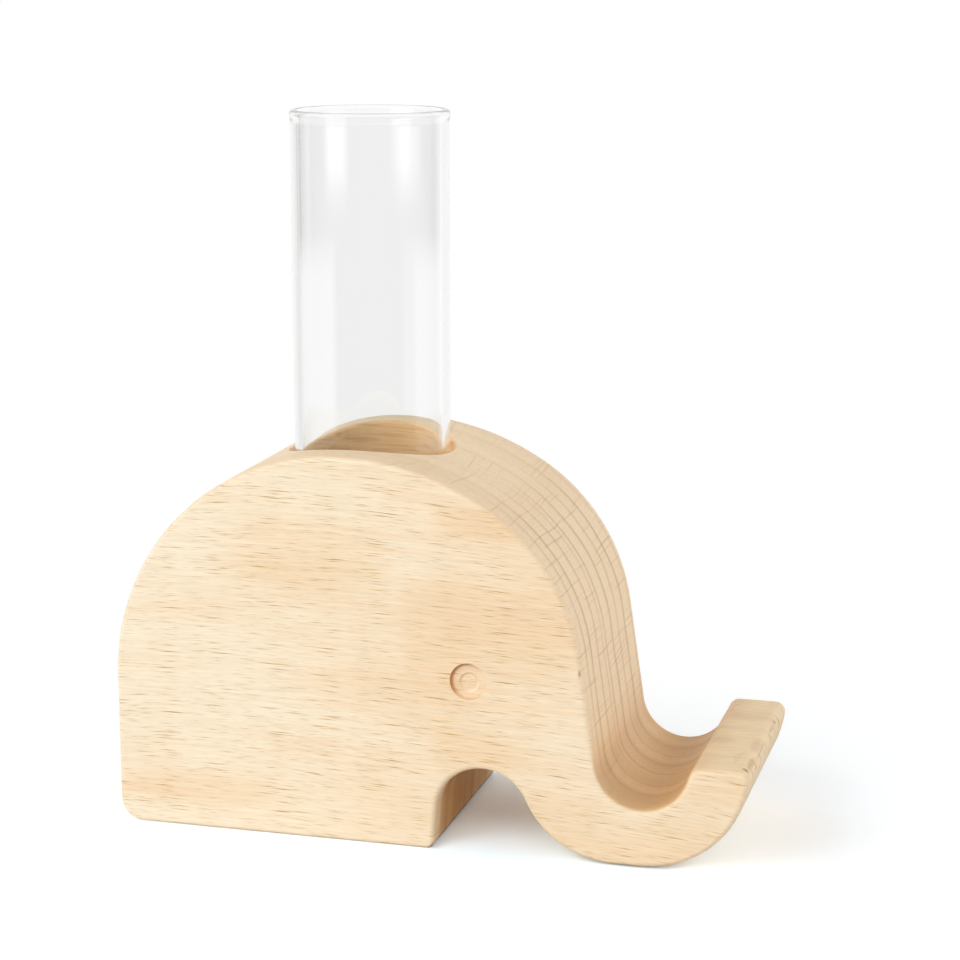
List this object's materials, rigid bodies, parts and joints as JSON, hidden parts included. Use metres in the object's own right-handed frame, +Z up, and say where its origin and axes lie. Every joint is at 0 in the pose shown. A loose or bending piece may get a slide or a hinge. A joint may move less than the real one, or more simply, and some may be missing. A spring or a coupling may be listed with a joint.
{
  "type": "test tube vase",
  "caption": "Bud vase: a beech block cut as an elephant, with an upright hole that holds a glass test tube and a curled trunk that serves as a small hook.",
  "frame": {"origin": "on the surface that the vase stands on, in the leg's flat underside, on the tube's axis", "axes": "+Z up along the tube's axis, +X towards the trunk, the block's two flat faces look along -Y and +Y"},
  "size_m": [0.123, 0.046, 0.1368],
  "materials": {
    "beech": "fine sanded pale beech with a clear matt oil, grain along the length, rings as lines on the curved end grain",
    "clear_glass": "clear thin-walled laboratory glass with a fire-polished rim"
  },
  "bodies": {
    "elephant": {"elephant_body": "beech"},
    "tube": {"test_tube": "clear_glass"}
  },
  "joints": [
    {"name": "tube_lift", "type": "slide", "parent": "elephant", "child": "tube", "axis": [0, 0, 1], "range_m": [0, 0.065]}
  ]
}
